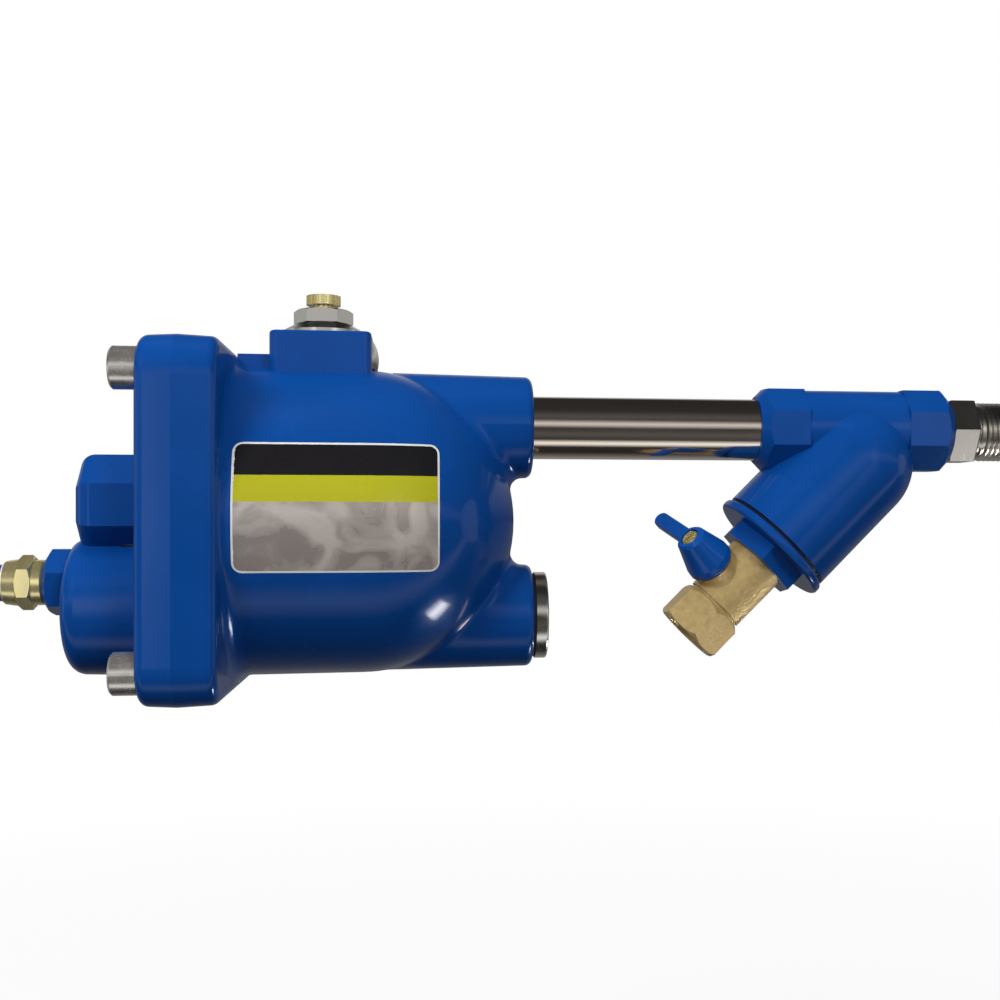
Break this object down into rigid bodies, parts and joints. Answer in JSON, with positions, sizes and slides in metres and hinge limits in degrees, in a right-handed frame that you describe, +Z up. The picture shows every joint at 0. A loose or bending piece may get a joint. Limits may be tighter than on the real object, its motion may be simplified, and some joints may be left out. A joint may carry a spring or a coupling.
{
  "type": "automatic drain valve",
  "caption": "Float-operated condensate drain: round domed chamber with bolted cover, inlet pipe with Y-strainer and blow-down ball valve, and hose outlet.",
  "frame": {"origin": "centre of the inlet nipple's open end, on the inlet thread's axis", "axes": "+X along the inlet thread, pointing out of the open end, away from the chamber; +Z up; -Y is the chamber's label side"},
  "size_m": [0.4718, 0.112, 0.3296],
  "materials": {
    "blue_paint": "glossy paint on cast iron",
    "blue_plastic": "moulded, satin gloss",
    "blue_hose": "smooth polyurethane",
    "stainless": "drawn and turned stainless steel",
    "nickel": "nickel-plated brass",
    "zinc_screw": "bright zinc",
    "brass": "turned and sand-blasted brass",
    "rubber": "matt black",
    "seal": "PTFE, fibre and acetal, matt"
  },
  "bodies": {
    "housing": {"chamber_body": "blue_paint", "cover": "blue_paint", "cover_o_ring": "rubber", "cover_screws": "zinc_screw", "vent_plug": "nickel", "side_plug": "nickel", "sump_plug": "nickel", "sump_washer": "seal", "inlet_pipe": "stainless", "inlet_nipple": "stainless", "strainer_body": "blue_paint", "strainer_screen": "stainless", "strainer_cap": "blue_paint", "cap_gasket": "seal", "ball_valve_body": "brass", "ball_valve_end": "brass", "ball_seats": "seal", "stem_packing": "seal", "gland_nut": "nickel", "outlet_adapter": "blue_paint", "hose_fitting": "brass", "hose_collet": "seal", "drain_hose": "blue_hose", "valve_seat": "stainless", "float_bracket": "stainless", "bracket_screws": "stainless", "pivot_pin": "stainless", "pivot_clip": "stainless"},
    "float_arm": {"float_lever": "stainless", "float_rod": "stainless", "float_ball": "stainless", "link_pin": "stainless"},
    "plunger": {"plunger": "brass", "plunger_pad": "rubber"},
    "blowdown_handle": {"valve_handle": "blue_plastic", "handle_screw": "brass", "valve_stem": "stainless", "valve_ball": "nickel"},
    "bleed_screw": {"bleed_knob": "brass"}
  },
  "joints": [
    {"name": "float_hinge", "type": "hinge", "parent": "housing", "child": "float_arm", "pos_m": [-0.2862, 0, -0.0364], "axis": [0, -1, 0], "range_deg": [0, 12]},
    {"name": "plunger_slide", "type": "slide", "parent": "housing", "child": "plunger", "axis": [1, 0, 0], "range_m": [0, 0.0035]},
    {"name": "handle_turn", "type": "hinge", "parent": "housing", "child": "blowdown_handle", "pos_m": [-0.09997, 0, -0.05487], "axis": [-0.63, -0.454, 0.63], "range_deg": [0, 90]},
    {"name": "bleed_turn", "type": "hinge", "parent": "housing", "child": "bleed_screw", "pos_m": [-0.2399, 0, 0.0299], "axis": [0, 0, 1], "range_deg": [0, 360]}
  ],
  "couplings": [
    {"joint": "plunger_slide", "follows": "float_hinge", "m_per_rad": 0.0156}
  ]
}
